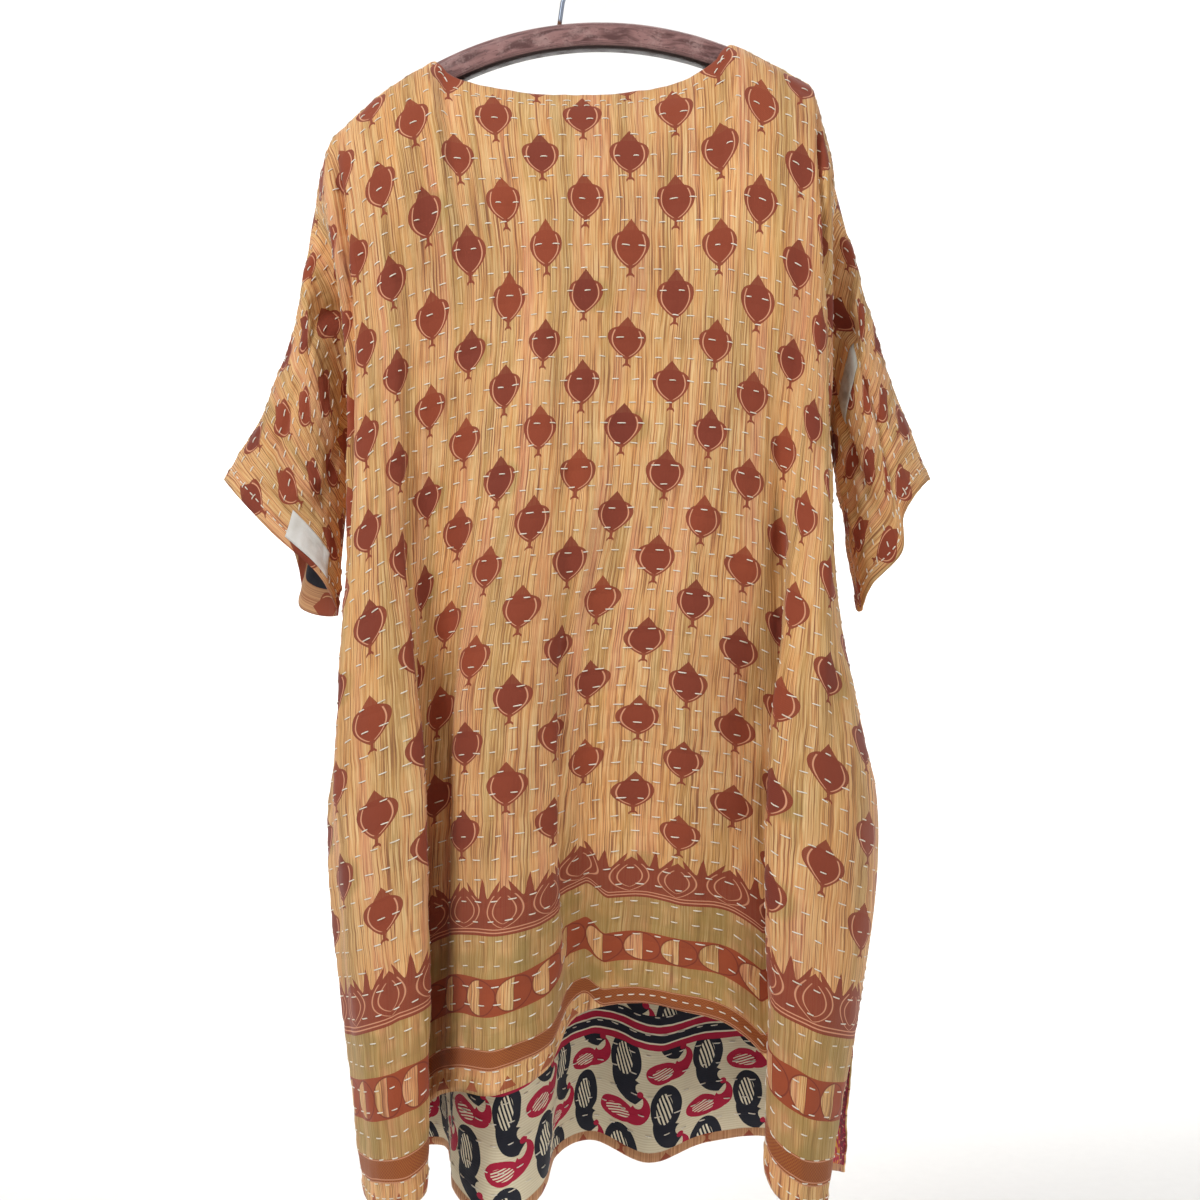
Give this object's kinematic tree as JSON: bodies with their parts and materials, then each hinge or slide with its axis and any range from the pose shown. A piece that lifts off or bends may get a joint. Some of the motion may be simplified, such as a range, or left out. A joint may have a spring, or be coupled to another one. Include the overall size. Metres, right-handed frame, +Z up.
{
  "type": "tunic on a hanger",
  "caption": "Wide quilted tunic with boat neck, grown-on half sleeves, high-low hem and side slits, hanging open on a bowed wooden hanger with a wire hook",
  "frame": {"origin": "the seat of the hanger's hook, where a rail touches the inside of the hook at its top", "axes": "+Z up, +X to the right seen from the front, -Y towards the viewer: the front of the tunic faces -Y"},
  "size_m": [0.6345, 0.2119, 1.14],
  "materials": {
    "quilt_front": "matt quilted cotton, hand stitched in rows",
    "quilt_back": "matt quilted cotton, hand stitched in rows",
    "label_tape": "plain woven tape",
    "mending_cloth": "plain woven cotton",
    "old_wood": "old varnish, worn",
    "hook_wire": "dull steel wire"
  },
  "bodies": {
    "root": {"front_panel": "quilt_front", "back_panel": "quilt_back", "sleeve_label": "label_tape", "sleeve_patch": "mending_cloth", "hanger_bar": "old_wood", "hanger_hook": "hook_wire"}
  },
  "joints": []
}
